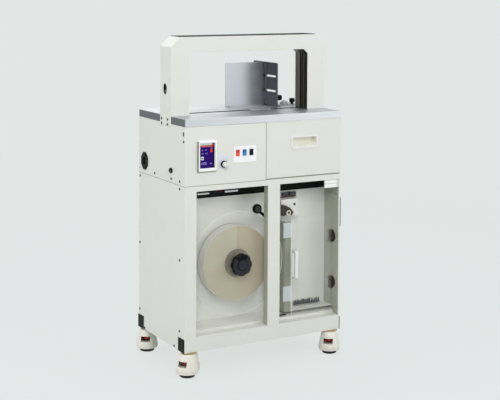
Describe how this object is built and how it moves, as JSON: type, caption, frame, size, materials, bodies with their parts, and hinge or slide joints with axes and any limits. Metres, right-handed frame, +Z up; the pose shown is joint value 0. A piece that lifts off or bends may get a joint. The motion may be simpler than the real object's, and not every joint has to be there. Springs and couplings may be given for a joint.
{
  "type": "banknote arch banding machine",
  "caption": "Floor-standing arch banding machine for banknote bundles: arch over a steel table, band reel and pool in the cabinet, drawer, levelling casters.",
  "frame": {"origin": "on the floor under the middle of the cabinet", "axes": "+Z up, the front with the drawer and the screen faces -Y, +X to the right seen from the front"},
  "size_m": [0.6637, 0.441, 1.155],
  "materials": {
    "cream_paint": "smooth satin powder coat",
    "grey_paint": "satin powder coat",
    "stainless": "brushed stainless sheet",
    "steel": "bright zinc plate",
    "black_plastic": "moulded, satin",
    "white_plastic": "moulded, satin",
    "clear_plastic": "clear cast acrylic",
    "screen": "dark glass in a moulded bezel",
    "red_plastic": "moulded, glossy",
    "blue_plastic": "moulded, glossy",
    "band": "tightly wound coated band",
    "brass": "plain",
    "rubber": "matt moulded rubber",
    "nylon": "moulded, satin"
  },
  "bodies": {
    "cabinet": {"cabinet_frame": "cream_paint", "left_side_panel": "cream_paint", "right_side_panel": "cream_paint", "rear_panel": "cream_paint", "mounting_plate": "grey_paint", "pool_box": "grey_paint", "feed_bracket": "cream_paint", "hinge_plates": "black_plastic", "corner_guards": "black_plastic", "side_pull": "black_plastic", "housing_shell": "cream_paint", "power_inlet": "black_plastic", "foot_switch_socket": "steel", "control_panel": "cream_paint", "touch_screen": "screen", "front_table": "stainless", "rear_table": "stainless", "head_plate": "stainless", "band_drive": "steel", "control_box": "black_plastic", "arch_front_cover": "cream_paint", "arch_rear_cover": "cream_paint", "arch_track": "black_plastic", "arch_top_strip": "black_plastic", "panel_screws": "steel", "caster_mounts": "brass"},
    "reel": {"reel_hub": "clear_plastic", "band_roll": "band", "reel_front_flange": "clear_plastic", "reel_knob": "black_plastic"},
    "dancer": {"tension_arm": "black_plastic"},
    "dancer_wheel": {"dancer_roller": "black_plastic"},
    "door": {"pool_door": "clear_plastic", "door_grip": "white_plastic", "hinge_leaves": "black_plastic"},
    "feeder": {"feed_roller": "steel"},
    "dial": {"control_knob": "steel"},
    "red_push": {"red_button": "red_plastic"},
    "blue_push": {"blue_button": "blue_plastic"},
    "black_push": {"black_button": "black_plastic"},
    "drawer": {"drawer_box": "cream_paint", "drawer_front": "cream_paint", "drawer_handle": "white_plastic"},
    "side_guide": {"side_stop": "stainless", "stop_bar": "stainless"},
    "rear_guide": {"rear_stop": "stainless"},
    "bar_clamp": {"bar_thumb_knob": "black_plastic"},
    "side_clamp": {"side_thumb_knob": "black_plastic"},
    "front_left_swivel": {"front_left_caster": "cream_paint"},
    "front_left_roller": {"front_left_wheel": "nylon"},
    "front_left_foot": {"front_left_pad": "rubber"},
    "front_right_swivel": {"front_right_caster": "cream_paint"},
    "front_right_roller": {"front_right_wheel": "nylon"},
    "front_right_foot": {"front_right_pad": "rubber"},
    "rear_left_swivel": {"rear_left_caster": "cream_paint"},
    "rear_left_roller": {"rear_left_wheel": "nylon"},
    "rear_left_foot": {"rear_left_pad": "rubber"},
    "rear_right_swivel": {"rear_right_caster": "cream_paint"},
    "rear_right_roller": {"rear_right_wheel": "nylon"},
    "rear_right_foot": {"rear_right_pad": "rubber"}
  },
  "joints": [
    {"name": "reel_spin", "type": "hinge", "parent": "cabinet", "child": "reel", "pos_m": [-0.084, -0.13, 0.359], "axis": [0, 1, 0], "continuous": true},
    {"name": "arm_swing", "type": "hinge", "parent": "cabinet", "child": "dancer", "pos_m": [0.05557, -0.136, 0.49125], "axis": [0, 1, 0], "range_deg": [0, 40]},
    {"name": "dancer_spin", "type": "hinge", "parent": "dancer", "child": "dancer_wheel", "pos_m": [-0.00763, -0.146, 0.54428], "axis": [0, 1, 0], "continuous": true},
    {"name": "door_swing", "type": "hinge", "parent": "cabinet", "child": "door", "pos_m": [0.3015, -0.151, 0.33], "axis": [0, 0, 1], "range_deg": [0, 85]},
    {"name": "feed_spin", "type": "hinge", "parent": "cabinet", "child": "feeder", "pos_m": [0.1265, -0.134, 0.517], "axis": [0, 1, 0], "continuous": true},
    {"name": "dial_turn", "type": "hinge", "parent": "cabinet", "child": "dial", "pos_m": [-0.166, -0.199, 0.7203], "axis": [0, 1, 0], "range_deg": [-150, 150]},
    {"name": "red_press", "type": "slide", "parent": "cabinet", "child": "red_push", "axis": [0, 1, 0], "range_m": [0, 0.0025], "stiffness_N_per_m": 600, "springref_m": -0.001},
    {"name": "blue_press", "type": "slide", "parent": "cabinet", "child": "blue_push", "axis": [0, 1, 0], "range_m": [0, 0.0025], "stiffness_N_per_m": 600, "springref_m": -0.001},
    {"name": "black_press", "type": "slide", "parent": "cabinet", "child": "black_push", "axis": [0, 1, 0], "range_m": [0, 0.0025], "stiffness_N_per_m": 600, "springref_m": -0.001},
    {"name": "drawer_slide", "type": "slide", "parent": "cabinet", "child": "drawer", "axis": [0, -1, 0], "range_m": [0, 0.1]},
    {"name": "side_stop_slide", "type": "slide", "parent": "cabinet", "child": "side_guide", "axis": [1, 0, 0], "range_m": [-0.004, 0.008]},
    {"name": "rear_stop_slide", "type": "slide", "parent": "side_guide", "child": "rear_guide", "axis": [0, -1, 0], "range_m": [0, 0.062]},
    {"name": "bar_clamp_turn", "type": "hinge", "parent": "cabinet", "child": "bar_clamp", "pos_m": [0.261, 0.065, 0.888], "axis": [0, 0, 1], "range_deg": [0, 360]},
    {"name": "side_clamp_turn", "type": "hinge", "parent": "side_guide", "child": "side_clamp", "pos_m": [0.171, 0.02, 0.915], "axis": [1, 0, 0], "range_deg": [0, 360]},
    {"name": "front_left_swivel_turn", "type": "hinge", "parent": "cabinet", "child": "front_left_swivel", "pos_m": [-0.286, -0.169, 0.07], "axis": [0, 0, 1], "continuous": true},
    {"name": "front_left_wheel_spin", "type": "hinge", "parent": "front_left_swivel", "child": "front_left_roller", "pos_m": [-0.25396, -0.1505, 0.023], "axis": [0.5, -0.866, 0], "continuous": true},
    {"name": "front_left_pad_lift", "type": "slide", "parent": "front_left_swivel", "child": "front_left_foot", "axis": [0, 0, 1], "range_m": [0, 0.01]},
    {"name": "front_right_swivel_turn", "type": "hinge", "parent": "cabinet", "child": "front_right_swivel", "pos_m": [0.286, -0.169, 0.07], "axis": [0, 0, 1], "continuous": true},
    {"name": "front_right_wheel_spin", "type": "hinge", "parent": "front_right_swivel", "child": "front_right_roller", "pos_m": [0.31027, -0.14108, 0.023], "axis": [0.7547, -0.6561, 0], "continuous": true},
    {"name": "front_right_pad_lift", "type": "slide", "parent": "front_right_swivel", "child": "front_right_foot", "axis": [0, 0, 1], "range_m": [0, 0.01]},
    {"name": "rear_left_swivel_turn", "type": "hinge", "parent": "cabinet", "child": "rear_left_swivel", "pos_m": [-0.286, 0.169, 0.07], "axis": [0, 0, 1], "continuous": true},
    {"name": "rear_left_wheel_spin", "type": "hinge", "parent": "rear_left_swivel", "child": "rear_left_roller", "pos_m": [-0.26373, 0.19855, 0.023], "axis": [0.7986, -0.6018, 0], "continuous": true},
    {"name": "rear_left_pad_lift", "type": "slide", "parent": "rear_left_swivel", "child": "rear_left_foot", "axis": [0, 0, 1], "range_m": [0, 0.01]},
    {"name": "rear_right_swivel_turn", "type": "hinge", "parent": "cabinet", "child": "rear_right_swivel", "pos_m": [0.286, 0.169, 0.07], "axis": [0, 0, 1], "continuous": true},
    {"name": "rear_right_wheel_spin", "type": "hinge", "parent": "rear_right_swivel", "child": "rear_right_roller", "pos_m": [0.29865, 0.20377, 0.023], "axis": [0.9397, -0.342, 0], "continuous": true},
    {"name": "rear_right_pad_lift", "type": "slide", "parent": "rear_right_swivel", "child": "rear_right_foot", "axis": [0, 0, 1], "range_m": [0, 0.01]}
  ]
}
